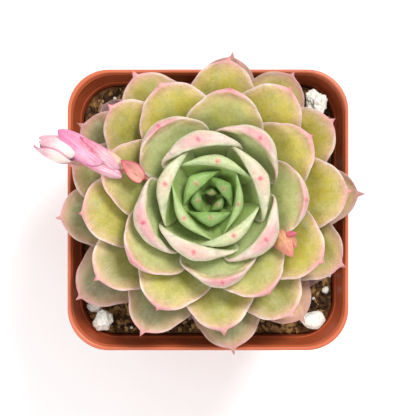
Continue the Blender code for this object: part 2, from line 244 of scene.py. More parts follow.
# %% Draw up the pot
WALL = 0.0013
FLOOR = 0.0018
COLLAR = 0.0100
STEP = 0.0012
FOOT_HALF = 0.0320
FOOT_CORNER = 0.0092
EDGE = 0.0008


def wall_half(z):
    return FOOT_HALF + (POT_HALF - STEP - FOOT_HALF) * z / RIM


collar_foot = RIM - COLLAR
lip = 0.5 * WALL
profile = [(0.00008, FOOT_HALF - 0.6 * EDGE), (0.0003, FOOT_HALF - 0.25 * EDGE),
           (EDGE, wall_half(EDGE)), (0.3 * RIM, wall_half(0.3 * RIM)),
           (0.6 * RIM, wall_half(0.6 * RIM)),
           (collar_foot - 0.0002, wall_half(collar_foot)),
           (collar_foot, wall_half(collar_foot) + 0.12 * STEP),
           (collar_foot + 0.0001, wall_half(collar_foot) + 0.85 * STEP),
           (collar_foot + 0.0005, wall_half(collar_foot) + STEP),
           (RIM - 1.3 * lip, POT_HALF - 0.00012), (RIM - lip, POT_HALF)]
for k in range(1, 8):
    turn = math.pi * k / 8
    profile.append((RIM - lip + lip * math.sin(turn), POT_HALF - lip + lip * math.cos(turn)))
ledge = collar_foot + 0.9 * WALL
profile += [(RIM - lip, POT_HALF - 2 * lip), (RIM - 1.6 * lip, POT_HALF - 2.2 * lip),
            (RIM - 2.0 * lip, POT_HALF - 2.65 * lip), (RIM - 2.8 * lip, POT_HALF - 2.75 * lip),
            (RIM - 5.0 * lip, POT_HALF - 2.9 * lip),
            (ledge + 0.0012, wall_half(ledge) + STEP - 1.50 * WALL),
            (ledge + 0.0002, wall_half(ledge) + STEP - 1.62 * WALL),
            (ledge, wall_half(ledge) - 0.95 * WALL),
            (ledge - 0.0004, wall_half(ledge) - WALL), (0.5 * RIM, wall_half(0.5 * RIM) - WALL),
            (FLOOR + EDGE, wall_half(FLOOR + EDGE) - WALL),
            (FLOOR + 0.25 * EDGE, wall_half(FLOOR) - WALL - 0.25 * EDGE),
            (FLOOR, wall_half(FLOOR) - WALL - EDGE)]

clear_selection()
bpy.ops.mesh.primitive_plane_add(size=2 * (FOOT_HALF - EDGE))
pot = bpy.context.object
pot.name = "pot_shell"
bpy.ops.object.mode_set(mode="EDIT")
bpy.ops.mesh.select_all(action="SELECT")
bpy.ops.mesh.bevel(offset=FOOT_CORNER, segments=14, affect="VERTICES")
bpy.ops.mesh.select_all(action="SELECT")
height, half = 0.0, FOOT_HALF - EDGE
for z, next_half in profile:
    bpy.ops.mesh.extrude_region_move(TRANSFORM_OT_translate={"value": (0, 0, z - height)})
    scale = next_half / half
    bpy.ops.transform.resize(value=(scale, scale, 1), center_override=(0, 0, z))
    height, half = z, next_half
bpy.ops.mesh.select_all(action="SELECT")
bpy.ops.mesh.remove_doubles(threshold=1e-6)
bpy.ops.mesh.normals_make_consistent(inside=False)
bpy.ops.object.mode_set(mode="OBJECT")
print("pot", len(pot.data.vertices), "points, height", round(pot.dimensions.z, 4))

# %% [markdown]
# Water has to run out, so four round holes go through the floor. A Boolean with four drills makes
# them, and a narrow bevel on every sharp edge then catches the light as moulded plastic does.

# %% Drill the drain holes
DRAIN_RADIUS, DRAIN_OUT = 0.0035, 0.0210
for side_x in (-1, 1):
    for side_y in (-1, 1):
        clear_selection()
        bpy.ops.mesh.primitive_cylinder_add(vertices=48, radius=DRAIN_RADIUS, depth=6 * FLOOR,
                                            location=(side_x * DRAIN_OUT, side_y * DRAIN_OUT, 0))
        drill = bpy.context.object
        only(pot)
        cut = pot.modifiers.new("drain", "BOOLEAN")
        cut.solver = "EXACT"
        cut.object = drill
        bpy.ops.object.modifier_apply(modifier=cut.name)
        bpy.data.objects.remove(drill)
only(pot)
soft_edge = pot.modifiers.new("soft_edge", "BEVEL")
soft_edge.width = 0.00012
soft_edge.segments = 2
soft_edge.limit_method = "ANGLE"
soft_edge.angle_limit = math.radians(50)
bpy.ops.object.modifier_apply(modifier=soft_edge.name)
print("pot drilled", len(pot.data.polygons), "faces")

# %% [markdown]
# The plastic is a warm terracotta colour with a satin skin. The lip is painted a little paler, a
# painted highlight where the rounded rim catches the light. Faint flow marks run round it, fine
# scuffs roughen it, and inside, above the soil, dried water has left a dull grey-brown bloom.

# %% Helpers for finishing
ROOT = "root"


def attribute(obj, name, values):
    store = obj.data.attributes.get(name) or obj.data.attributes.new(name, "FLOAT", "POINT")
    store.data.foreach_set("value", np.ascontiguousarray(values, np.float32))


def finish_piece(obj, material, nodes=()):
    """Give a piece its finish and hang it on the model's one body."""
    obj.data.materials.clear()
    obj.data.materials.append(material)
    obj.data.shade_smooth()
    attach(obj, ROOT)
    if nodes:
        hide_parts(*nodes)


print("pieces hang on the body", ROOT)

# %% Terracotta plastic
plastic = Finish("terracotta_plastic")
split = plastic.tree.nodes.new("ShaderNodeSeparateXYZ")
plastic.plug(plastic.place, split.inputs[0])
height = split.outputs[2]
flow = plastic.noise(26, 3, at=plastic.join(split.outputs[0], split.outputs[1],
                                            plastic.sum("MULTIPLY", height, 3.0)))
scuff = plastic.noise(900, 4, 0.7)
body = plastic.blend(plastic.slide(flow, 0.35, 0.7), (0.42, 0.080, 0.026), (0.455, 0.090, 0.031))
# painted highlight: the lip is painted paler where the rounded rim catches the light
painted_lip_highlight = plastic.slide(height, RIM - 0.0016, RIM - 0.0004, 0.0, 0.70)
body = plastic.blend(painted_lip_highlight, body, (0.56, 0.135, 0.055))
stain = plastic.sum("MULTIPLY", plastic.slide(plastic.noise(260, 5, 0.7), 0.48, 0.66),
                    plastic.slide(height, SOIL_TOP - 0.002, SOIL_TOP + 0.007, 1.0, 0.0))
inner_wall = plastic.slide(plastic.known("inner"), 0.2, 0.8)
stain = plastic.sum("MULTIPLY", stain, plastic.sum("MULTIPLY", inner_wall, 0.7))
body = plastic.blend(stain, body, (0.20, 0.11, 0.065))
plastic_rough = plastic.slide(scuff, 0.3, 0.75, 0.30, 0.52)
grain = plastic.bump(plastic.noise(2600, 2), 0.00002, 0.5)
pot_finish = plastic.set(Base_Color=body, Roughness=plastic_rough, Normal=grain,
                         Coat_Weight=0.12, Coat_Roughness=0.25, Subsurface_Weight=0.08,
                         Subsurface_Radius=through(0.8), Subsurface_Scale=1.0)
faces_in = [float(point.normal.xy.dot(point.co.xy) < 0) for point in pot.data.vertices]
attribute(pot, "inner", faces_in)
finish_piece(pot, pot_finish, ("pot",))
only(pot)
bpy.ops.object.shade_smooth_by_angle(angle=math.radians(40))
print("pot finished,", int(sum(faces_in)), "points face inwards")

# %% [markdown]
# ## The soil
# Potting mix is peat, bark and grit, lumpy at every scale. The surface is a square grid pulled
# into the pot's rounded outline and roughened with noise; a skirt closes it underneath. Loose
# crumbs, strewn on top, give the broken shadows that a displaced sheet alone can't.

# %% The soil's outline
GAP = 0.0003
SOIL_HALF = wall_half(SOIL_TOP) - WALL - GAP
SOIL_CORNER = FOOT_CORNER / FOOT_HALF * wall_half(SOIL_TOP) - WALL
BANK = 0.0016
SKIRT, SKIRT_IN = 0.006, 0.0012


def rounded_reach(bearing, half, corner):
    """Distance from the centre to a rounded square's outline, on a bearing."""
    c, s = abs(math.cos(bearing)), abs(math.sin(bearing))
    c, s = max(c, s), min(c, s)
    straight = half / c
    if straight * s <= half - corner:
        return straight
    m = half - corner
    along = m * (c + s)
    return along + math.sqrt(max(along * along - 2 * m * m + corner * corner, 0))


def ease(x):
    """0 below 0, 1 above 1, and a smooth change between."""
    x = np.clip(x, 0, 1)
    return x * x * (3 - 2 * x)


def ground_at(x, y, level):
    """Height of the soil: lumpy, and banked up a little against the wall, where level is 1."""
    lumps = 0.0010 * noise.fractal(Vector((x, y, 0)) * 160, 0.8, 2.1, 4)
    return SOIL_TOP + 0.0002 + lumps + BANK * float(ease((level - 0.86) / 0.14))


print("soil reaches", round(SOIL_HALF, 4), "from the middle")

# %% Soil surface
def points_of(obj):
    flat = np.empty(len(obj.data.vertices) * 3)
    obj.data.vertices.foreach_get("co", flat)
    return flat.reshape(-1, 3)


def move_points(obj, points):
    obj.data.vertices.foreach_set("co", np.ascontiguousarray(points, np.float32).ravel())
    obj.data.update()


clear_selection()
bpy.ops.mesh.primitive_grid_add(x_subdivisions=150, y_subdivisions=150, size=2)
soil = bpy.context.object
soil.name = "soil_surface"
places = points_of(soil)
for place in places:
    level = max(abs(place[0]), abs(place[1]))
    if level < 1e-9:
        place[2] = SOIL_TOP
        continue
    bearing = math.atan2(place[1], place[0])
    reach = level * rounded_reach(bearing, SOIL_HALF, SOIL_CORNER)
    place[0], place[1] = reach * math.cos(bearing), reach * math.sin(bearing)
    at = Vector((place[0], place[1], 0))
    lumps = 0.0004 * noise.noise(at * 900)
    place[2] = ground_at(place[0], place[1], level) + lumps
move_points(soil, places)
only(soil)
bpy.ops.object.mode_set(mode="EDIT")
bpy.ops.mesh.select_mode(type="VERT")
bpy.ops.mesh.select_all(action="SELECT")
bpy.ops.mesh.extrude_region_move(TRANSFORM_OT_translate={"value": (0, 0, -SKIRT)})
bpy.ops.transform.resize(value=(1, 1, 0), center_override=(0, 0, SOIL_TOP - SKIRT))
shrink = 1 - SKIRT_IN / SOIL_HALF
bpy.ops.transform.resize(value=(shrink, shrink, 1), center_override=(0, 0, SOIL_TOP))
bpy.ops.mesh.select_all(action="SELECT")
bpy.ops.mesh.normals_make_consistent(inside=False)
bpy.ops.object.mode_set(mode="OBJECT")
print("soil", len(soil.data.polygons), "faces")

# %% Soil finish
earth = Finish("peat_and_bark")
clods = earth.noise(300, 6, 0.7)
fibres = earth.cells(700)
tone = earth.blend(earth.slide(clods, 0.35, 0.68), (0.030, 0.013, 0.005), (0.22, 0.108, 0.038))
tone = earth.blend(earth.slide(fibres, 0.0, 0.28, 0.35, 0.0), tone, (0.36, 0.19, 0.055))
earth_bump = earth.bump(clods, 0.0006, 0.9)
soil_finish = earth.set(Base_Color=tone, Roughness=0.95, Normal=earth_bump, Specular_IOR_Level=0.25)
finish_piece(soil, soil_finish, ("soil",))
print("soil finish", len(earth.tree.nodes), "nodes")

# %% [markdown]
# One crumb is modelled, as a ball of twenty triangles knocked out of shape. Thousands of objects
# would be slow to copy and join, so the crumb's points are turned, stretched and set down as
# numbers, and all of them become one piece with few faces each.

# %% Model one crumb
CRUMBS = 4200
SMALLEST_CRUMB, LARGEST_CRUMB = 0.00018, 0.0013
LONGEST_CRUMB = 2.4
SHADED_GROUND = 0.024
CRUMB_TONES = (0.0, 0.0, 0.1, 0.2, 0.35, 0.5, 0.6, 0.7, 0.75, 0.8)
clear_selection()
bpy.ops.mesh.primitive_ico_sphere_add(subdivisions=1, radius=1)
crumb = bpy.context.object
bpy.ops.object.mode_set(mode="EDIT")
bpy.ops.mesh.select_all(action="SELECT")
bpy.ops.transform.vertex_random(offset=0.35, uniform=0.6, seed=5)
bpy.ops.object.mode_set(mode="OBJECT")
crumb_points = points_of(crumb)
crumb_faces = np.array([tuple(face.vertices) for face in crumb.data.polygons])
bpy.data.objects.remove(crumb)
print("a crumb has", len(crumb_faces), "faces")

# %% Strew the crumbs
def strewn(name, count, tones):
    """Many small lumps lying on the soil, as one piece; tone says which colour each one takes."""
    dice = random.Random(3)
    points, faces, shades = [], [], []
    while len(points) < count:
        x, y = dice.uniform(-SOIL_HALF, SOIL_HALF), dice.uniform(-SOIL_HALF, SOIL_HALF)
        size = SMALLEST_CRUMB + (LARGEST_CRUMB - SMALLEST_CRUMB) * dice.random() ** 2.5
        room = rounded_reach(math.atan2(y, x), SOIL_HALF, SOIL_CORNER) - math.hypot(x, y)
        if room < 1.2 * size or math.hypot(x - AXIS.x, y - AXIS.y) < SHADED_GROUND:
            continue
        ground = ground_at(x, y, math.hypot(x, y) / (math.hypot(x, y) + room))
        stretch = np.array([dice.uniform(1, LONGEST_CRUMB), 1, dice.uniform(0.5, 0.9)]) * size
        turn, tip = dice.uniform(0, math.tau), dice.uniform(-0.5, 0.5)
        body = crumb_points * stretch
        c, s = math.cos(tip), math.sin(tip)
        body = body @ np.array([[c, 0, s], [0, 1, 0], [-s, 0, c]])
        c, s = math.cos(turn), math.sin(turn)
        body = body @ np.array([[c, s, 0], [-s, c, 0], [0, 0, 1]])
        faces.append(crumb_faces + len(points) * len(crumb_points))
        points.append(body + (x, y, ground + 0.3 * size))
        shades += [dice.choice(tones)] * len(crumb_points)
    mesh = bpy.data.meshes.new(name)
    mesh.from_pydata(np.concatenate(points).tolist(), [], np.concatenate(faces).tolist())
    obj = bpy.data.objects.new(name, mesh)
    bpy.context.scene.collection.objects.link(obj)
    attribute(obj, "tone", shades)
    return obj


crumbs = strewn("soil_crumbs", CRUMBS, CRUMB_TONES)
print("crumbs", len(crumbs.data.polygons), "faces")

# %% Crumb finish
grit = Finish("crumbs")
tone = grit.ramp(grit.known("tone"), ((0.0, (0.035, 0.015, 0.007)), (0.3, (0.13, 0.060, 0.022)),
                                      (0.6, (0.30, 0.155, 0.048)), (0.8, (0.50, 0.30, 0.115)),
                                      (1.0, (0.70, 0.64, 0.52))))
speckle = grit.ramp(grit.noise(1500, 3), ((0.3, (0.45, 0.45, 0.45)), (0.7, (1, 1, 1))))
tone = grit.blend(0.8, tone, speckle, "MULTIPLY")
crumb_finish = grit.set(Base_Color=tone, Roughness=0.9, Specular_IOR_Level=0.3,
                        Normal=grit.bump(grit.noise(3000, 3), 0.0001, 0.8))
finish_piece(crumbs, crumb_finish)
crumbs.data.shade_flat()
print("crumb finish", len(grit.tree.nodes), "nodes")

# %% [markdown]
# ## White pumice
# The stones are pumice: chalky, pitted and rounded at the corners. Each starts as a ball of small
# triangles, is squeezed to its CAD stone's box, and is then roughened, coarse dents first and
# small pits after. The one in the lower right corner is worn smooth.

# %% Stones
def pumice(name, low, high, dent, pit, seed, detail=5):
    """A stone in the box from low to high, with wide dents and small pits of the given depths."""
    middle, span = (Vector(low) + Vector(high)) / 2, (Vector(high) - Vector(low)) / 2
    clear_selection()
    bpy.ops.mesh.primitive_ico_sphere_add(subdivisions=detail, radius=1)
    stone = bpy.context.object
    stone.name = name
    places = points_of(stone)
    shift = Vector((seed * 3.1, seed * 1.7, 0))
    for i, place in enumerate(places):
        at = Vector(place)
        swell = 1 - dent * (0.5 - 0.9 * noise.noise(at * 1.2 + shift))
        facet = noise.noise(at * 2.6 + shift)
        swell -= dent * 0.55 * abs(facet)
        swell -= pit * max(noise.noise(at * 7 + shift), 0)
        swell -= pit * 0.7 * max(noise.noise(at * 15 + shift), 0)
        places[i] = at * swell
    reach_of = abs(places).max(axis=0)
    places = places / reach_of * np.array(span) * 0.99 + np.array(middle)
    move_points(stone, places)
    return stone


chalk = Finish("pumice")
pits = chalk.cells(1700)
specks = chalk.noise(1100, 4, 0.7)
tone = chalk.blend(chalk.slide(specks, 0.35, 0.65), (0.74, 0.72, 0.64), (0.90, 0.89, 0.82))
# painted shade: the fine pits are painted dark brown-grey, the shade inside them
tone = chalk.blend(chalk.slide(pits, 0.0, 0.14, 0.25, 0.0), tone, (0.36, 0.31, 0.24))
muddy = chalk.slide(chalk.noise(330, 3), 0.60, 0.74, 0.0, 0.4)
tone = chalk.blend(muddy, tone, (0.55, 0.44, 0.30))
chalk_bump = chalk.bump(pits, 0.0002, 0.6, under=chalk.bump(specks, 0.0002, 0.8))
stone_finish = chalk.set(Base_Color=tone, Roughness=0.95, Specular_IOR_Level=0.2,
                         Normal=chalk_bump)
print("stone finish", len(chalk.tree.nodes), "nodes")

# %% Set the stones on the soil
STONES = (
    # name, CAD node, growth and shift of its box, dents, pits, seed
    ("pumice_a", "stone_a", (1.0, 1.12, 0.95), (-0.0006, 0.0024, 0.0036), 0.50, 0.03, 5),
    ("pumice_b", "stone_b", (1.10, 1.12, 1.0), (-0.0004, -0.0012, 0.0022), 0.42, 0.02, 3),
    ("pumice_c", "stone_c", (1.05, 1.10, 1.0), (0.0012, -0.0007, 0.0016), 0.20, 0.02, 9))
for name, node, grow, shift, dent, pit, seed in STONES:
    low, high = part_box(node)
    middle, span = (low + high) / 2 + Vector(shift), (high - low) / 2
    span = Vector(a * b for a, b in zip(span, grow))
    stone = pumice(name, middle - span, middle + span, dent, pit, seed)
    finish_piece(stone, stone_finish, (node,))
PEBBLES = ((-0.0368, -0.0312, 0.0028), (-0.0384, -0.0268, 0.0019), (0.0378, 0.0155, 0.0012),
           (0.0385, -0.0262, 0.0014), (0.0396, -0.0215, 0.0008), (-0.0345, 0.0235, 0.0006),
           (-0.0370, 0.0280, 0.0005), (0.0345, -0.0290, 0.0006), (-0.0250, -0.0385, 0.0006),
           (-0.0305, 0.0365, 0.0006))
for number, (x, y, r) in enumerate(PEBBLES):
    z = SOIL_TOP + 0.0012 + 0.7 * r
    pebble = pumice(f"pebble_{number}", (x - r, y - r * 0.9, z - r * 0.8),
                    (x + r, y + r * 0.9, z + r * 0.8), 0.3, 0.08, 20 + number, detail=3)
    finish_piece(pebble, stone_finish)
print(len(STONES), "stones and", len(PEBBLES), "pebbles")

# %% [markdown]
# ## One leaf, modelled flat
# An echeveria leaf is a thick spoon: narrow where it joins the stem, widest two thirds of the way
# out, then rounded off into a tiny hard point. All the leaves share that shape, so it is modelled
# once. A ball with its poles at foot and tip already has rings across the leaf; each ring is
# selected by its place along the leaf and scaled to the width and depth that the leaf has there.

# %% Rings of the leaf
LEAF_FOOT, LEAF_WIDEST, UPPER_SHARE = 0.24, 0.66, 0.42
RINGS, SIDES = 68, 48


def leaf_width(t, shoulder=2.15, cusp=0.06):
    """Half width at t along the leaf, 1 at the widest; a larger shoulder gives a squarer end."""
    foot = np.sqrt(1 - np.clip(1 - t / 0.05, 0, 1) ** 2)
    past = np.clip((t - LEAF_WIDEST) / (1 - LEAF_WIDEST), 0, 1)
    cap = np.maximum(1 - (past / (1 - cusp)) ** shoulder, 0) ** 0.68
    point = 0.52 * (1 - past) ** 0.90 * ease((past - 0.50) / 0.42)
    return (LEAF_FOOT + (1 - LEAF_FOOT) * ease(t / LEAF_WIDEST)) * foot * np.minimum(cap + point, 1)


def leaf_depth(t, blunt=3.0):
    foot = np.sqrt(1 - np.clip(1 - t / 0.05, 0, 1) ** 2)
    last = np.clip((t - 0.6) / 0.4, 0, 1)
    end = np.maximum(1 - (last / 0.975) ** blunt, 0) ** 0.62 + 0.10 * (1 - last) ** 0.4
    return (0.42 + 0.58 * ease(t / 0.6)) * foot * np.minimum(end, 1)


def pick(obj, test):
    """In edit mode, select just the vertices for which test(position) is true."""
    mesh = bmesh.from_edit_mesh(obj.data)
    for vert in mesh.verts:
        vert.select_set(bool(test(vert.co)))
    mesh.select_flush_mode()
    bmesh.update_edit_mesh(obj.data)


def ringed(name, width, depth, rings=RINGS, sides=SIDES):
    """A closed blank, 1 long on +X, whose rings are scaled to width(t) on Y and depth(t) on Z."""
    clear_selection()
    bpy.ops.mesh.primitive_uv_sphere_add(segments=sides, ring_count=rings, radius=1,
                                         rotation=(0, math.pi / 2, 0))
    blank = bpy.context.object
    blank.name = name
    bpy.ops.object.transform_apply(rotation=True)
    bpy.ops.object.mode_set(mode="EDIT")
    bpy.ops.mesh.select_mode(type="VERT")
    for ring in range(1, rings):
        x = -math.cos(math.pi * ring / rings)
        girth = math.sqrt(1 - x * x)
        t = (1 + x) / 2
        pick(blank, lambda co: abs(co.x - x) < 1e-5)
        bpy.ops.transform.resize(value=(1, float(width(t)) / girth, float(depth(t)) / girth),
                                 center_override=(x, 0, 0))
    bpy.ops.mesh.select_all(action="SELECT")
    bpy.ops.transform.translate(value=(1, 0, 0))
    bpy.ops.transform.resize(value=(0.5, 1, 1), center_override=(0, 0, 0))
    bpy.ops.object.mode_set(mode="OBJECT")
    return blank


blank_leaf = ringed("blank_leaf", leaf_width, leaf_depth)
print("blank leaf", len(blank_leaf.data.vertices), "points")

# %% [markdown]
# ## Laying a leaf on its curve
# On the plant no leaf is flat. Its middle line climbs and curls in the upright plane through the
# rosette's axis, and its sides wrap part way round that axis, like a stave of a barrel. So a copy
# of the flat leaf is laid point by point: how far along sets the place on the curve, how far
# across becomes an angle about the axis, and how far above goes at right angles to the curve.

# %% The middle line of a leaf
class Blade:
    """A leaf's middle line, in the upright plane through the axis, on a bearing."""

    def __init__(self, azimuth, foot, tip, foot_slope, tip_slope, half_width, thickness):
        self.azimuth, self.half_width, self.thickness = azimuth, half_width, thickness
        foot, tip = np.array(foot), np.array(tip)
        self.length = float(np.hypot(*(tip - foot)))
        a, b = math.radians(foot_slope), math.radians(tip_slope)
        handle = 0.38 * self.length
        self.line = (foot, foot + handle * np.array((math.cos(a), math.sin(a))),
                     tip - handle * np.array((math.cos(b), math.sin(b))), tip)

    def at(self, t):
        p, q, r, s = self.line
        t = t[:, None]
        u = 1 - t
        point = u ** 3 * p + 3 * u * u * t * q + 3 * u * t * t * r + t ** 3 * s
        along = 3 * u * u * (q - p) + 6 * u * t * (r - q) + 3 * t * t * (s - r)
        return point, along / np.hypot(along[:, :1], along[:, 1:])


def spiral_blade(age):
    """The middle line, width and thickness that the growth law gives a leaf."""
    azimuth = math.radians(FIRST_TURN - TURN * age + TURNED.get(age, 0))
    reach = REACH * (law(REACH_LAW, age) + STRETCHED.get(age, 0))
    half_width = 0.264 * REACH * (1 - math.exp(-age / 5)) * (1 - 0.004 * max(0, age - 20))
    root = (STEM_RADIUS * law(ROOT_LAW, age), SOIL_TOP + CROWN - CROWN_STEP * age)
    return Blade(azimuth, root, (reach, tip_height(age)), law(FOOT_SLOPE, age), law(TIP_SLOPE, age),
                 half_width, REACH * law(THICKNESS_LAW, age) - GAP)


print("leaf 20 is", round(spiral_blade(20).length, 4), "long")

# %% Section and rim
def lens(height):
    """Section of a leaf: full in the middle and drawn out to a fine edge."""
    full = np.abs(height)
    return 0.90 * full ** 1.85 + 0.10 * full ** 0.6


def rim_bead(distance):
    """Height of a rounded rim: up from the edge like a quarter circle, then steeply down."""
    inside = np.sqrt(np.clip(1 - (1 - np.clip(distance, 0, 1)) ** 2, 0, 1))
    return np.where(distance < 1, inside, np.exp(-((distance - 1) / 0.45) ** 2))


print("half way up, a leaf's section is", round(float(lens(0.5)), 2), "full")

# %% Lay a leaf
def lay(obj, blade, age, shoulders=(2.15, 2.15), cusp=0.06, turned_up=0.0, cup=0.05, keel=0.07,
        uneven=0.00025, seed=0, straight=FLATTER, twist=0.0):
    """Lay a flat leaf on its blade, and note on every point what the finish needs to know."""
    flat = points_of(obj)
    t = np.clip(flat[:, 0], 0, 1)
    across = np.clip(flat[:, 1] / np.maximum(leaf_width(t), 1e-6), -1, 1)
    above = np.clip(flat[:, 2] / np.maximum(leaf_depth(t), 1e-6), -1, 1)
    shoulder = np.where(across > 0, shoulders[0], shoulders[1])
    width = leaf_width(t, shoulder, cusp)
    lean = (leaf_width(t + 0.001, shoulder, cusp) - leaf_width(t - 0.001, shoulder, cusp)) / 0.002
    lean = np.clip(lean * blade.half_width / blade.length, -4, 4)
    from_edge = (1 - abs(across)) * width * blade.half_width / np.sqrt(1 + lean ** 2)
    from_edge = np.minimum(from_edge, (1 - t) * blade.length)

    young = 1 - float(ease((age - 12) / 6))
    near_tip = ease((t - 0.56) / 0.34)
    band = (0.0002 + 0.0024 * near_tip) * blade.half_width / 0.0120
    bead = rim_bead(from_edge / band) * near_tip
    full, blunt = lens(above), leaf_depth(t, 3.0 + 3.0 * young)
    upper = UPPER_SHARE * full * leaf_depth(t)
    upper = (1 - young) * upper + young * (0.30 * upper + 0.50 * bead * (above > 0))
    lower = (1 - UPPER_SHARE + 0.20 * young) * full * blunt
    ridge = keel * np.exp(-(across / 0.22) ** 2) * ease((t - 0.45) / 0.4) * blunt
    rise = blade.thickness * np.where(above > 0, upper, -lower - ridge * full)

    swell = np.sin(math.pi * t ** 1.3)
    rise += cup * blade.half_width * width * across ** 2 * swell
    rise += turned_up * (1 - np.clip(from_edge / 0.0048, 0, 1)) ** 2 * ease((t - 0.30) / 0.35)
    rough = np.array([noise.fractal(Vector((a * 4 + seed, b * 2.0, seed * 0.7)), 1.0, 2.0, 2)
                      for a, b in zip(t, across)])
    rise += uneven * rough * swell + twist * across * t * t * blade.half_width
    point, along = blade.at(t)
    swing = across * width * blade.half_width / np.maximum(point[:, 0], 0.1 * STEM_RADIUS)
    spread = 1 + straight * (1 / np.cos(np.minimum(abs(swing), 1.2)) - 1)
    radius = point[:, 0] * spread - rise * along[:, 1]
    height = point[:, 1] + rise * along[:, 0]
    bearing = blade.azimuth + swing
    places = np.column_stack((AXIS.x + radius * np.cos(bearing),
                              AXIS.y + radius * np.sin(bearing), height))
    move_points(obj, places)
    attribute(obj, "along", t)
    attribute(obj, "across", across)
    attribute(obj, "edge_mm", 1000 * from_edge)
    attribute(obj, "tip_mm", 1000 * np.linalg.norm(places - places[t.argmax()], axis=1))
    attribute(obj, "upper", 0.5 + 0.5 * above)
    # the band marks the rounded bead near the tip; the finish paints it in the pale rim tone,
    # partly as a painted highlight
    on_rim = np.where(above > 0, 1 - ease((from_edge / band - 0.85) / 0.35), 1)
    attribute(obj, "band", on_rim * near_tip)
    return obj


print("each leaf gets", len(blank_leaf.data.vertices), "points laid on its blade")

# %% [markdown]
# ## The skin of a leaf
# Close up, the colour of a leaf tells its age. The youngest are plain green. The grown ones turn
# yellow-olive towards the end, with a peach glow just inside a pale pink edge and a crimson point.
# Those on the side towards the key lamp are painted golden, partly the colour that sun brings out
# and partly painted light, and older ones on the far side are painted darker and duller as painted
# shade. The oldest are duller, under a floury wax that scatters the light. The backs are paler,
# almost pink-white near the edge. The flesh is watery, so some light goes in and comes out again
# close by.

# %% Leaf finish
skin = Finish("leaf_skin")
along, across = skin.known("along"), skin.known("across")
edge, tip, band = skin.known("edge_mm"), skin.known("tip_mm"), skin.known("band")
age, sun, upper = skin.known("age"), skin.known("sun"), skin.known("upper")

face = skin.ramp(age, ((0.0, (0.11, 0.22, 0.035)), (0.11, (0.27, 0.43, 0.09)),
                       (0.22, (0.48, 0.57, 0.21)), (0.34, (0.46, 0.51, 0.23)),
                       (0.46, (0.45, 0.43, 0.11)), (0.58, (0.46, 0.40, 0.055)),
                       (0.72, (0.35, 0.32, 0.065)), (0.88, (0.27, 0.26, 0.085)),
                       (1.0, (0.28, 0.23, 0.11))))
# partly sun colour, partly painted light: leaves facing the key lamp are painted golden
golden_and_painted_light = skin.sum("MULTIPLY", skin.slide(sun, 0.35, 0.95, 0.0, 0.70), skin.slide(age, 0.34, 0.52))
face = skin.blend(golden_and_painted_light, face, (0.56, 0.455, 0.045))
# painted shade: older leaves on the side away from the key lamp are painted darker and duller
painted_shade_far_side = skin.sum("MULTIPLY", skin.slide(sun, 0.05, 0.5, 0.65, 0.0), skin.slide(age, 0.5, 0.85))
face = skin.blend(painted_shade_far_side, face, (0.23, 0.225, 0.12))
deep = skin.blend(skin.slide(age, 0.1, 0.6), (0.25, 0.39, 0.085), (0.22, 0.28, 0.07))
face = skin.blend(skin.slide(along, 0.40, 0.80, 0.85, 0.0), face, deep)
where = skin.join(skin.sum("MULTIPLY", along, 2.2), skin.sum("MULTIPLY", across, 1.6),
                  skin.sum("MULTIPLY", age, 57.0))
cloud = skin.noise(1.0, 2, 0.5, at=where)
face = skin.blend(skin.slide(cloud, 0.46, 0.68, 0.0, 0.45), face, (0.38, 0.42, 0.20))
where = skin.join(skin.sum("MULTIPLY", along, 2.5), skin.sum("MULTIPLY", across, 13.0),
                  skin.sum("MULTIPLY", age, 91.0))
streak = skin.noise(1.0, 4, 0.65, at=where)
chalky = skin.sum("MULTIPLY", skin.slide(streak, 0.40, 0.66, 0.0, 0.45),
                  skin.slide(age, 0.10, 0.24))
face = skin.blend(skin.sum("MULTIPLY", chalky, 0.35), face, (0.58, 0.49, 0.30))
glow = skin.sum("MULTIPLY", skin.slide(edge, 0.4, 5.5, 0.72, 0.0), skin.slide(along, 0.50, 0.85))
glow = skin.sum("MULTIPLY", glow, skin.slide(age, 0.20, 0.36))
face = skin.blend(glow, face, (0.70, 0.47, 0.26))
print("leaf face", len(skin.tree.nodes), "nodes")

# %% Rim, point and bloom of the leaf
# the pale rim tone: the tip's own pale colour, lightened in part as a painted highlight
pale_rim_and_highlight = skin.ramp(age, ((0.0, (0.12, 0.23, 0.045)), (0.09, (0.25, 0.40, 0.11)),
                           (0.14, (0.44, 0.57, 0.25)), (0.20, (0.60, 0.66, 0.40)),
                           (0.30, (0.68, 0.67, 0.52)), (0.45, (0.70, 0.62, 0.48)),
                           (1.0, (0.52, 0.42, 0.30))))
pale_rim_and_highlight = skin.blend(chalky, pale_rim_and_highlight, (0.76, 0.66, 0.62))
back = skin.blend(skin.slide(along, 0.35, 0.78), (0.27, 0.40, 0.13), pale_rim_and_highlight)
tone = skin.blend(skin.slide(upper, 0.44, 0.56), back, face)
# painted highlight: the bead near the tip of young leaves takes the pale rim tone, partly its own
# colour and partly painted light where it faces up
tone = skin.blend(skin.sum("MULTIPLY", band, skin.slide(age, 0.36, 0.24)), tone, pale_rim_and_highlight)

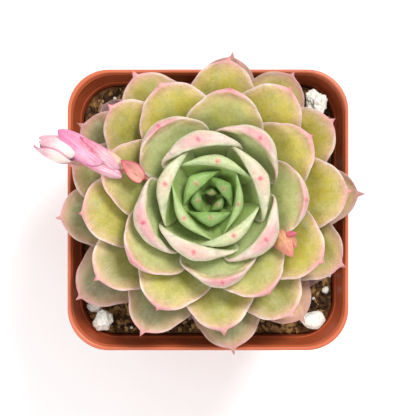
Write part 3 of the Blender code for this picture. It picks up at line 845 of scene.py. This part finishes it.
wobble = skin.sum("MULTIPLY", skin.sum("SUBTRACT", skin.noise(380, 3, 0.7), 0.5), 1.0)
near = skin.sum("ADD", edge, wobble)
line = skin.sum("MULTIPLY", skin.slide(near, 0.15, 1.30, 0.92, 0.0), skin.slide(along, 0.30, 0.60))
line = skin.sum("MULTIPLY", line, skin.slide(age, 0.14, 0.32))
rosier = skin.slide(skin.noise(130, 2), 0.38, 0.62)
pink = skin.blend(rosier, (0.74, 0.63, 0.55), (0.72, 0.49, 0.46))
pink = skin.blend(skin.slide(tip, 2.0, 9.0, 0.85, 0.0), pink, (0.64, 0.23, 0.30))
tone = skin.blend(line, tone, pink)
flush = skin.sum("MULTIPLY", skin.slide(tip, 0.8, 7.5, 0.42, 0.0), skin.slide(age, 0.06, 0.30))
tone = skin.blend(flush, tone, (0.74, 0.38, 0.33))
tone = skin.blend(skin.slide(age, 0.985, 0.995, 0.0, 0.55), tone, (0.76, 0.40, 0.25))
mucro = skin.slide(skin.sum("ADD", tip, skin.sum("MULTIPLY", wobble, 1.1)), 0.10, 1.45, 0.85, 0.0)
mucro = skin.sum("MULTIPLY", mucro, skin.slide(age, 0.03, 0.20, 0.35, 1.0))
tone = skin.blend(mucro, tone, (0.70, 0.12, 0.20))

mottle = skin.noise(230, 6, 0.75)
patches = skin.ramp(mottle, ((0.34, (0.78, 0.80, 0.76)), (0.58, (1.0, 1.0, 1.0))))
tone = skin.blend(1.0, tone, patches, "MULTIPLY")
grain = skin.ramp(skin.noise(1300, 3, 0.6), ((0.36, (0.88, 0.89, 0.87)), (0.56, (1.0, 1.0, 1.0))))
tone = skin.blend(1.0, tone, grain, "MULTIPLY")
flour = skin.sum("MULTIPLY", skin.slide(skin.noise(170, 7, 0.8), 0.47, 0.66),
                 skin.slide(age, 0.2, 0.9, 0.12, 0.20))
tone = skin.blend(flour, tone, (0.64, 0.58, 0.50))
worn = skin.sum("MULTIPLY", skin.slide(age, 0.66, 1.0), skin.slide(edge, 0.0, 4.0, 0.70, 0.06))
tone = skin.blend(worn, tone, (0.36, 0.19, 0.165))

relief = skin.bump(skin.noise(1500, 4, 0.7), 0.00012, 0.6, under=skin.bump(mottle, 0.0005, 0.35))
leaf_rough = skin.slide(mottle, 0.3, 0.7, 0.40, 0.56)
leaf_finish = skin.set(Base_Color=tone, Roughness=leaf_rough, Normal=relief,
                       Subsurface_Weight=0.18, Subsurface_Radius=through(1.2),
                       Subsurface_Scale=1.0, Specular_IOR_Level=0.42)
print("leaf finish", len(skin.tree.nodes), "nodes")

# %% [markdown]
# ## Leaves in their spiral
# Each leaf is a copy of the blank, laid on the blade that the growth law gives for its age. The
# six at the very heart are too young for the law, so their blades are listed: small, upright and
# curled in over each other.

# %% Grow the rosette
def copy_of(obj, name):
    """A copy with its own mesh."""
    twin = obj.copy()
    twin.data = obj.data.copy()
    twin.name = name
    twin.data.name = name
    bpy.context.scene.collection.objects.link(twin)
    return twin


def dress(obj, blade, number):
    count = len(obj.data.vertices)
    attribute(obj, "age", np.full(count, number / LAST_LEAF))
    # how far the leaf faces the key lamp's side, which the finish uses for painted light and
    # painted shade
    attribute(obj, "sun", np.full(count, 0.5 + 0.5 * math.cos(blade.azimuth - SUN_AND_LAMP_SIDE)))


TURNED_UP = ((11, 0), (15, 0.0016), (19, 0.0014), (26, 0.0009), (47, 0.0007))
STRAIGHT = ((5, 0.50), (11, 0.55), (16, 0.42), (22, FLATTER))
UNEVEN = ((10, 0.0002), (20, 0.0006), (32, 0.0008), (47, 0.0014))
chance = random.Random(12)
for number in range(FIRST_LEAF, LAST_LEAF + 1):
    blade = spiral_blade(number)
    grown = float(ease((number - 12) / 10))
    shoulders = (chance.uniform(1.45, 2.45), chance.uniform(1.45, 2.45))
    leaf = lay(copy_of(blank_leaf, f"rosette_leaf_{number:02d}"), blade, number, shoulders,
               cusp=0.05 + 0.06 * grown * chance.uniform(0.7, 1.5), seed=number * 1.37,
               turned_up=law(TURNED_UP, number), straight=law(STRAIGHT, number),
               cup=0.02 + 0.05 * grown, uneven=law(UNEVEN, number),
               twist=grown * chance.uniform(-0.035, 0.035))
    dress(leaf, blade, number)
    finish_piece(leaf, leaf_finish, (f"leaf_{number:02d}",))
print("leaves", LAST_LEAF - FIRST_LEAF + 1)

# %% Heart leaves
heart_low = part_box("heart_bud")[0]
MM = 0.001
HEART = (
    # age, bearing, reach, half width, thickness, drop from leaf 5's tip, slope at the tip
    (4, 134, 6.4, 6.6, 3.1, -1.1, 100), (3, 270, 5.6, 5.9, 2.9, -1.6, 102),
    (2, 38, 4.9, 5.0, 2.6, -2.2, 104), (1, 188, 4.0, 4.2, 2.2, -2.9, 106),
    (0, 320, 2.6, 3.2, 1.8, -3.7, 108), (0, 85, 1.6, 2.2, 1.4, -4.5, 110))
for order, (number, bearing, reach, half_width, thickness, drop, slope) in enumerate(HEART):
    top = tip_height(FIRST_LEAF) + drop * MM
    foot = (0.30 * reach * MM, heart_low.z + 0.1 * MM)
    blade = Blade(math.radians(bearing), foot, (reach * MM, top), 60, slope,
                  half_width * MM, thickness * MM)
    leaf = lay(copy_of(blank_leaf, f"heart_leaf_{order}"), blade, number, (1.7, 2.0),
               cup=0.0, keel=0.18, uneven=0.0001, seed=70 + order, straight=0.45)
    dress(leaf, blade, number)
    finish_piece(leaf, leaf_finish, ("heart_bud",) if order == 0 else ())
print("heart leaves", len(HEART))

# %% [markdown]
# ## The stem
# Only a short piece of it could ever be seen, low between the leaves. Its CAD shape is already
# right, a plain round peg, so it is kept and only gets a finish like green bark.

# %% Stem
bark = Finish("stem_bark")
rings_noise = bark.noise(500, 4, 0.7)
bark_tone = bark.ramp(rings_noise, ((0.3, (0.16, 0.13, 0.06)), (0.7, (0.38, 0.36, 0.18))))
stem_finish = bark.set(Base_Color=bark_tone, Roughness=0.75,
                       Normal=bark.bump(rings_noise, 0.0003, 0.8))
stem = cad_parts["stem"]
stem.data.materials.clear()
stem.data.materials.append(stem_finish)
print("stem", len(stem.data.polygons), "faces")

# %% [markdown]
# ## Dried leaves
# The oldest leaves shrivel and stay on the soil under the rosette. They are the same leaf again,
# thin and wrinkled, and the green has gone: what is left is purple-brown and papery.

# %% Dried leaves
paper = Finish("dried_leaf")
creases = paper.noise(1.0, 4, 0.7, at=paper.join(paper.sum("MULTIPLY", paper.known("along"), 4.0),
                                                paper.sum("MULTIPLY", paper.known("across"), 14.0)))
tone = paper.blend(paper.slide(creases, 0.35, 0.7), (0.19, 0.095, 0.10), (0.46, 0.28, 0.27))
tone = paper.blend(paper.slide(paper.noise(240, 4), 0.5, 0.7, 0.0, 0.6), tone, (0.42, 0.36, 0.20))
at_edge = paper.slide(paper.known("edge_mm"), 0.2, 1.0, 0.7, 0.0)
tone = paper.blend(at_edge, tone, (0.62, 0.40, 0.36))
dry_finish = paper.set(Base_Color=tone, Roughness=0.8, Normal=paper.bump(creases, 0.0006, 0.9),
                       Subsurface_Weight=0.08, Subsurface_Radius=through(0.8), Subsurface_Scale=1.0)
DRY_LEAVES = (("dry_leaf_a", 139, 0.95), ("dry_leaf_b", 52, 0.94), ("dry_leaf_c", 260, 0.80),
              ("dry_leaf_d", 324, 0.90))
for name, bearing, out in DRY_LEAVES:
    foot = (0.34 * REACH, SOIL_TOP + 0.0014)
    tip_place = (out * REACH, SOIL_TOP + 0.46 * (RIM - SOIL_TOP))
    blade = Blade(math.radians(bearing), foot, tip_place, 4, 34, 0.16 * REACH, 0.026 * REACH)
    leaf = lay(copy_of(blank_leaf, "dried_" + name[-1]), blade, LAST_LEAF, (1.8, 2.2), 0.10,
               cup=0.22, keel=0.3, uneven=0.0014, seed=bearing)
    dress(leaf, blade, LAST_LEAF)
    finish_piece(leaf, dry_finish, (name,))
print("dried leaves", len(DRY_LEAVES))

# %% [markdown]
# ## The flower stalk
# One young stalk comes out between two leaves on the left and leans over the rim. It is a smooth
# tapering tube, so it is a curve with a round bevel, turned into a mesh. The bracts along it are
# thin pointed shells, each a copy of one blank petal laid between its own foot and tip.

# %% Places by the stalk
FLOWER_BEARING = math.radians(161.5)


def by_stalk(out, side, lift):
    """A place: parts of the rosette's reach out and sideways, of its dome above the oldest tips."""
    c, s = math.cos(FLOWER_BEARING), math.sin(FLOWER_BEARING)
    return Vector((AXIS.x + REACH * (out * c - side * s), AXIS.y + REACH * (out * s + side * c),
                   RIM + TIP_LIFT + DOME * lift))


STALK_RADIUS = 0.0009
root_out = (STEM_RADIUS + GAP) / REACH
root_lift = (SOIL_TOP + CROWN - CROWN_STEP * 15.5 - RIM - TIP_LIFT) / DOME
STALK = ((root_out, 0, root_lift, 1.0), (0.19, 0, 0.13, 1.0), (0.31, 0.012, 0.26, 1.0),
         (0.46, 0, 0.50, 1.0), (0.60, 0.005, 0.69, 0.95), (0.74, 0.0, 0.82, 0.9),
         (0.88, -0.01, 0.865, 0.8))
clear_selection()
bpy.ops.curve.primitive_bezier_curve_add()
stalk = bpy.context.object
stalk.name = "flower_stem"
stalk.data.bevel_depth = STALK_RADIUS
stalk.data.bevel_resolution = 6
stalk.data.resolution_u = 10
stalk.data.use_fill_caps = True
spline = stalk.data.splines[0]
spline.bezier_points.add(len(STALK) - 2)
for knot, (out, side, lift, size) in zip(spline.bezier_points, STALK):
    knot.co = by_stalk(out, side, lift)
    knot.handle_left_type = knot.handle_right_type = "AUTO"
    knot.radius = size
only(stalk)
bpy.ops.object.convert(target="MESH")
stalk = bpy.context.object
only(stalk)
bpy.ops.object.mode_set(mode="EDIT")
bpy.ops.mesh.select_all(action="SELECT")
bpy.ops.mesh.remove_doubles(threshold=1e-6)
bpy.ops.mesh.normals_make_consistent(inside=False)
bpy.ops.object.mode_set(mode="OBJECT")
print("stalk", len(stalk.data.vertices), "points")

# %% Bract blank
def petal_width(t, belly=0.4, point=0.8):
    """Half width of a bract: round at its foot, widest at belly, drawn out to its tip."""
    foot = np.sqrt(np.clip(1 - (1 - np.clip(t / belly, 0, 1)) ** 2, 0, 1))
    past = np.clip((t - belly) / (1 - belly), 0, 1)
    return foot * (1 - past ** 1.7) ** point


def petal_depth(t):
    return max(math.sin(math.pi * t), 0) ** 0.5


blank_petal = ringed("blank_petal", petal_width, petal_depth, rings=40, sides=32)
petal_flat = points_of(blank_petal)
PETAL_T = np.clip(petal_flat[:, 0], 0, 1)
PETAL_ACROSS = np.clip(petal_flat[:, 1] / np.maximum(petal_width(PETAL_T), 1e-6), -1, 1)
PETAL_ABOVE = petal_flat[:, 2]


def note_petal(obj, width, half_width):
    attribute(obj, "along", PETAL_T)
    attribute(obj, "across", PETAL_ACROSS)
    attribute(obj, "edge_mm", 1000 * (1 - abs(PETAL_ACROSS)) * width * half_width)
    attribute(obj, "above", 0.5 + 0.5 * np.clip(PETAL_ABOVE, -1, 1))


def shell(name, foot, tip, half_width, thickness, arch, roll, cup, fold, belly, point, ruffle,
          seed):
    """A bract between two points: arched along, cupped and folded across, its edge uneven."""
    obj = copy_of(blank_petal, name)
    along = tip - foot
    level = Vector((0, 0, 1)).cross(along).normalized()
    upright = along.cross(level).normalized()
    sideways = math.cos(roll) * level + math.sin(roll) * upright
    up = math.cos(roll) * upright - math.sin(roll) * level
    t, across, width = PETAL_T, PETAL_ACROSS, petal_width(PETAL_T, belly, point)
    lift = arch * 4 * t * (1 - t) + thickness / 2 * PETAL_ABOVE
    lift = lift - half_width * width * (cup * across ** 2 + fold * (abs(across) - 0.3))
    wave = np.array([noise.noise(Vector((a * 5 + seed, b * 2.5, seed))) for a, b in zip(t, across)])
    lift = lift + ruffle * wave * (0.3 + abs(across))
    places = (np.array(foot) + np.outer(t, along) + np.outer(across * width * half_width, sideways)
              + np.outer(lift, up))
    move_points(obj, places)
    note_petal(obj, width, half_width)
    return obj


print("blank petal", len(PETAL_T), "points")

# %% [markdown]
# Bracts are translucent: white-pink in the middle, deeper pink at edge and tip, with fine streaks
# running to the point. Light passes through, so they glow on their shaded side.

# %% Petal finishes
def petal_finish(name, pale, rosy, deep_pink, patch=0.0, edging=0.75):
    petal = Finish(name)
    t, across, edge = petal.known("along"), petal.known("across"), petal.known("edge_mm")
    lines = petal.noise(1.0, 4, 0.65, at=petal.join(petal.sum("MULTIPLY", t, 1.8),
                                                    petal.sum("MULTIPLY", across, 7.0)))
    tone = petal.blend(petal.slide(lines, 0.42, 0.58), pale, rosy)
    tone = petal.blend(petal.slide(t, 0.30, 1.0, 0.0, 0.80), tone, deep_pink)
    faded = petal.slide(petal.noise(260, 4, 0.7), 0.45, 0.70, 0.0, 0.45)
    tone = petal.blend(faded, tone, pale)
    vein = petal.slide(petal.sum("ABSOLUTE", across), 0.02, 0.16, 0.45, 0.0)
    vein = petal.sum("MULTIPLY", vein, petal.slide(t, 0.2, 0.7))
    tone = petal.blend(vein, tone, rosy)
    tone = petal.blend(petal.slide(edge, 0.10, 0.60, edging, 0.0), tone, deep_pink)
    if patch:
        spot = petal.sum("MULTIPLY", petal.slide(t, 0.12, 0.34), petal.slide(t, 0.66, 0.42))
        off_middle = petal.sum("ABSOLUTE", petal.sum("ADD", across, 0.35))
        spot = petal.sum("MULTIPLY", spot, petal.slide(off_middle, 0.55, 0.1))
        ragged = petal.slide(petal.noise(500, 4, 0.7), 0.35, 0.60)
        spot = petal.sum("MULTIPLY", spot, petal.sum("MULTIPLY", ragged, patch))
        tone = petal.blend(spot, tone, (0.62, 0.085, 0.10))
    glossy = petal.slide(petal.noise(300, 3), 0.3, 0.7, 0.28, 0.48)
    return petal.set(Base_Color=tone, Roughness=glossy, Subsurface_Weight=0.20,
                     Subsurface_Radius=through(1.0), Subsurface_Scale=1.0,
                     Normal=petal.bump(lines, 0.0004, 0.7))


pink_finish = petal_finish("pink_bract", (0.80, 0.56, 0.63), (0.62, 0.20, 0.28),
                           (0.56, 0.11, 0.23))
patched_finish = petal_finish("pink_bract_patched", (0.76, 0.44, 0.58), (0.64, 0.22, 0.33),
                              (0.58, 0.13, 0.30), patch=1.0)
bud_finish = petal_finish("bud_petal", (0.84, 0.72, 0.65), (0.82, 0.56, 0.55),
                          (0.55, 0.13, 0.28), edging=0.95)
cream_finish = petal_finish("cream_bract", (0.78, 0.66, 0.42), (0.80, 0.52, 0.42),
                            (0.70, 0.26, 0.30))
coral_finish = petal_finish("coral_bract", (0.82, 0.44, 0.38), (0.78, 0.40, 0.32),
                            (0.62, 0.08, 0.16), edging=0.95)
peach_finish = petal_finish("peach_bract", (0.60, 0.31, 0.16), (0.42, 0.17, 0.075),
                            (0.66, 0.20, 0.19), edging=0.35)
crimson_finish = petal_finish("crimson_bract", (0.50, 0.12, 0.12), (0.50, 0.075, 0.10),
                              (0.62, 0.12, 0.20))
print("seven petal finishes")

# %% Stalk finish
stalk_skin = Finish("stalk_skin")
stalk_tone = stalk_skin.ramp(stalk_skin.noise(300, 3), ((0.35, (0.36, 0.13, 0.09)),
                                                        (0.65, (0.56, 0.27, 0.19))))
stalk_finish = stalk_skin.set(Base_Color=stalk_tone, Roughness=0.5, Subsurface_Weight=0.1,
                              Subsurface_Radius=through(0.8), Subsurface_Scale=1.0,
                              Normal=stalk_skin.bump(stalk_skin.noise(2000, 2), 0.00005, 0.5))
finish_piece(stalk, stalk_finish, ("flower_stalk",))
print("stalk finished")

# %% [markdown]
# ## Bracts
# Two big bracts lie over the upper side of the stalk, a long one over the lower side, and a small
# boat sits where the stalk comes out of the leaves. Smaller ones fill in behind them.

# %% Place the bracts
BRACTS = (
    # name, finish, CAD node, foot, tip, half width, thickness, arch, roll, cup, fold, belly, point
    ("big_bract", patched_finish, "bract_upper", (0.695, 0.004, 0.84), (1.006, -0.102, 1.02),
     0.074, 0.018, 0.022, 0.30, 0.30, 0.35, 0.42, 0.62),
    ("long_bract", pink_finish, None, (0.585, 0.000, 0.73), (0.870, -0.106, 0.99),
     0.047, 0.016, 0.020, 0.15, 0.20, 0.60, 0.25, 0.80),
    ("lower_bract", pink_finish, "bract_middle", (0.560, 0.050, 0.68), (0.840, 0.030, 0.86),
     0.046, 0.016, 0.012, -0.50, 0.30, 0.45, 0.30, 0.75),
    ("back_bract", cream_finish, None, (0.560, -0.010, 0.68), (0.735, -0.086, 0.86),
     0.036, 0.012, 0.010, 0.40, 0.20, 0.30, 0.35, 0.70),
    ("boat_bract", coral_finish, "bract_lower", (0.440, 0.026, 0.52), (0.596, -0.050, 0.83),
     0.052, 0.014, -0.012, 0.25, -0.30, -0.75, 0.48, 0.95),
    ("under_bract", cream_finish, None, (0.775, 0.030, 0.76), (0.925, 0.052, 0.76),
     0.030, 0.010, -0.004, 0.0, -0.4, -0.3, 0.45, 0.8),
    ("side_bract", pink_finish, None, (0.690, 0.012, 0.80), (0.885, 0.030, 0.90),
     0.036, 0.012, 0.010, -0.4, 0.4, 0.3, 0.40, 0.70))
for name, finish, node, foot, tip_at, half_width, thickness, arch, *bends in BRACTS:
    bract = shell(name, by_stalk(*foot), by_stalk(*tip_at), REACH * half_width, REACH * thickness,
                  REACH * arch, *bends, ruffle=0.3 * MM, seed=len(name) + half_width * 50)
    finish_piece(bract, finish, (node,) if node else ())
print("bracts", len(BRACTS))

# %% [markdown]
# ## The bud
# Five petals wrap round each other into a pointed oval, each with one edge tucked under its
# neighbour. The outer two have begun to part at the tip.

# %% Wrap the bud
bud_foot, bud_tip = by_stalk(0.860, 0.010, 0.865), by_stalk(1.128, 0.006, 0.86)
bud_axis = bud_tip - bud_foot
bud_first = Vector((0, 0, 1)).cross(bud_axis).normalized()
bud_second = bud_axis.cross(bud_first).normalized()
BUD_RADIUS = 0.080 * REACH
TUCK, HALF_PETAL = 0.0005, 0.00036


def bud_petal(name, turn, size, length, part):
    """A petal wrapped round the bud's axis, starting at turn; part opens it at the tip."""
    obj = copy_of(blank_petal, name)
    t, across, width = PETAL_T, PETAL_ACROSS, petal_width(PETAL_T, 0.50, 0.55)
    swell = np.sin(math.pi * np.clip(0.05 + 0.95 * t, 0, 1) ** 0.85) ** 0.60
    angle = turn + across * width * 1.30
    radius = size * BUD_RADIUS * (0.08 + 0.84 * swell) + part * t ** 4
    radius = radius + TUCK * across + HALF_PETAL * PETAL_ABOVE
    places = (np.array(bud_foot) + np.outer(t * length, bud_axis)
              + np.outer(radius * np.cos(angle), bud_first)
              + np.outer(radius * np.sin(angle), bud_second))
    move_points(obj, places)
    note_petal(obj, width, 1.3 * BUD_RADIUS)
    return obj


BUD = ((0.2, 1.0, 0.99, 0.0008), (1.55, 0.97, 0.90, 0.0002), (2.85, 1.0, 0.93, 0.0007),
       (4.0, 0.95, 0.86, 0.0), (5.15, 0.93, 0.88, 0.0))
for number, (turn, size, length, part) in enumerate(BUD):
    petal = bud_petal(f"bud_petal_{number}", turn, size, length, part)
    finish_piece(petal, bud_finish, ("flower_bud",) if number == 0 else ())
print("bud petals", len(BUD))

# %% [markdown]
# ## The side shoot
# On the other side a second shoot has only just pushed out between the leaves: a peach-coloured
# bract folded like a roof, a crimson one over it, and a narrow one behind.

# %% Side shoot
shoot_low, shoot_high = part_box("side_shoot")
shoot_mid = (shoot_low + shoot_high) / 2
SHOOT = (
    # name, finish, foot, tip, half width, thickness, arch, all in mm, then roll, cup, fold, belly
    ("shoot_roof", peach_finish, (-2.4, 3.6, -0.6), (2.9, -4.8, 1.4),
     2.8, 0.6, 1.0, 0.10, 0.25, 0.35, 0.36),
    ("shoot_crimson", crimson_finish, (0.4, 1.9, 0.2), (4.1, 2.7, 0.8),
     1.2, 0.5, 0.3, 0.20, 0.30, 0.30, 0.45),
    ("shoot_side", peach_finish, (1.0, 2.4, -0.2), (4.1, -1.9, 0.3),
     1.5, 0.5, 0.2, -0.20, 0.30, 0.20, 0.45),
    ("shoot_under", crimson_finish, (-3.6, 1.4, -1.8), (-0.9, -2.6, -1.2),
     1.2, 0.5, 0.2, 0.0, 0.3, 0.3, 0.45),
    ("shoot_stalk", crimson_finish, (-5.5, 3.2, -3.6), (-1.0, 1.0, -0.6),
     0.9, 1.4, 0.1, 0.0, 0.3, 0.1, 0.45))
for number, (name, finish, foot, tip_at, half_width, thickness, arch, *bends) in enumerate(SHOOT):
    bract = shell(name, shoot_mid + MM * Vector(foot), shoot_mid + MM * Vector(tip_at),
                  half_width * MM, thickness * MM, arch * MM, *bends, point=0.95,
                  ruffle=0.6 * MM, seed=30 + number)
    finish_piece(bract, finish, ("side_shoot",) if number == 0 else ())
print("side shoot", len(SHOOT))
bpy.data.objects.remove(blank_leaf)
bpy.data.objects.remove(blank_petal)

# %% [markdown]
# ## Floor, light and camera
# A pale floor and a bright, even sky give the clean look of a studio table. One big soft lamp
# from the upper right makes the leaves round, and a fainter one opposite opens the shadows. The
# camera hangs straight above the pot.

# %% Floor
clear_selection()
bpy.ops.mesh.primitive_plane_add(size=3.0, location=(0, 0, -0.0002))
floor = bpy.context.object
floor.name = "studio_floor"
white = Finish("studio_white")
table = white.ramp(white.noise(3, 2), ((0.3, (0.95, 0.955, 0.96)), (0.7, (0.97, 0.975, 0.98))))
floor.data.materials.append(white.set(Base_Color=table, Roughness=0.9))
print("floor laid")

# %% Lights
world = bpy.data.worlds.new("studio")
bpy.context.scene.world = world
world.use_nodes = True
world.node_tree.nodes["Background"].inputs[0].default_value = (1.0, 1.0, 1.0, 1)
world.node_tree.nodes["Background"].inputs[1].default_value = 0.79


def soft_lamp(name, place, size, watts, colour):
    lamp = bpy.data.lights.new(name, "AREA")
    lamp.shape = "DISK"
    lamp.size = size
    lamp.energy = watts
    lamp.color = colour
    obj = bpy.data.objects.new(name, lamp)
    bpy.context.scene.collection.objects.link(obj)
    obj.location = place
    obj.rotation_mode = "QUATERNION"
    obj.rotation_quaternion = (Vector((0, 0, RIM)) - Vector(place)).to_track_quat("-Z", "Y")
    print(name, "lamp,", watts, "W")


soft_lamp("key", (0.30, 0.40, 0.78), 0.34, 6.2, (1.0, 0.995, 0.985))
soft_lamp("fill", (-0.45, -0.30, 0.70), 0.5, 2.6, (0.99, 0.995, 1.0))

# %% Camera
CAMERA_HEIGHT = 0.49
VIEW_WIDTH = 0.13312
SENSOR = 36
camera_data = bpy.data.cameras.new("camera")
camera_data.sensor_width = SENSOR
camera_data.lens = SENSOR * CAMERA_HEIGHT / VIEW_WIDTH
camera_data.clip_start = 0.01
camera = bpy.data.objects.new("camera", camera_data)
bpy.context.scene.collection.objects.link(camera)
camera.location = (0, 0.0006, RIM + CAMERA_HEIGHT)
bpy.context.scene.camera = camera
bpy.context.scene.view_settings.view_transform = "Standard"
print("camera lens", round(camera_data.lens, 1), "mm")
